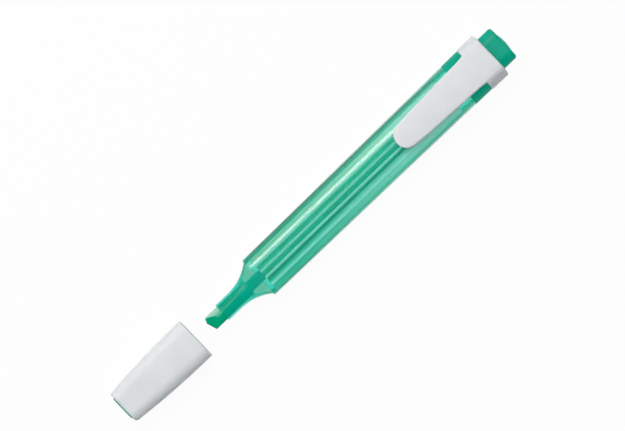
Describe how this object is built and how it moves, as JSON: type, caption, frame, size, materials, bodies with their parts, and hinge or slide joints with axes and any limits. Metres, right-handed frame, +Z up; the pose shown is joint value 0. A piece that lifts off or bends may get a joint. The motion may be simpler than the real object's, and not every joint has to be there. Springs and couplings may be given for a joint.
{
  "type": "capped pocket highlighter",
  "caption": "Flat-sided pocket highlighter with a chisel nib, a translucent ink barrel, a sprung pocket clip and a pull-off cap that seals round the nose.",
  "frame": {"origin": "On the surface that the pen lies on, under the middle of the box round the pen and its pulled-off cap", "axes": "+X along the pen towards the end plug, +Z up through the clip, with the flat back of the barrel on z = 0"},
  "size_m": [0.1522, 0.0152, 0.0143],
  "materials": {
    "translucent_green": "clear tinted moulding, glossy outside, ribbed inside",
    "solid_green": "solid moulded plastic, satin gloss",
    "off_white": "cool off-white moulded plastic, satin gloss",
    "nib_felt": "bonded felt soaked with ink",
    "ink_fibre": "bonded fibre bundle soaked with ink",
    "wrap_film": "thin clear film",
    "seal_plastic": "soft moulded plastic"
  },
  "bodies": {
    "pen": {"barrel": "translucent_green", "nib": "nib_felt", "ink_reservoir": "ink_fibre", "reservoir_wrap": "wrap_film", "end_plug": "solid_green", "clip_collar": "off_white"},
    "clip": {"pocket_clip": "off_white"},
    "cap": {"cap_shell": "off_white", "cap_inner_seal": "seal_plastic", "cap_end_insert": "solid_green"}
  },
  "joints": [
    {"name": "cap_slide", "type": "slide", "parent": "pen", "child": "cap", "axis": [1, 0, 0], "range_m": [0, 0.0249]},
    {"name": "clip_flex", "type": "hinge", "parent": "pen", "child": "clip", "pos_m": [0.06512, 0, 0.0135], "axis": [0, 1, 0], "range_deg": [0, 5], "stiffness_Nm_per_rad": 1}
  ]
}
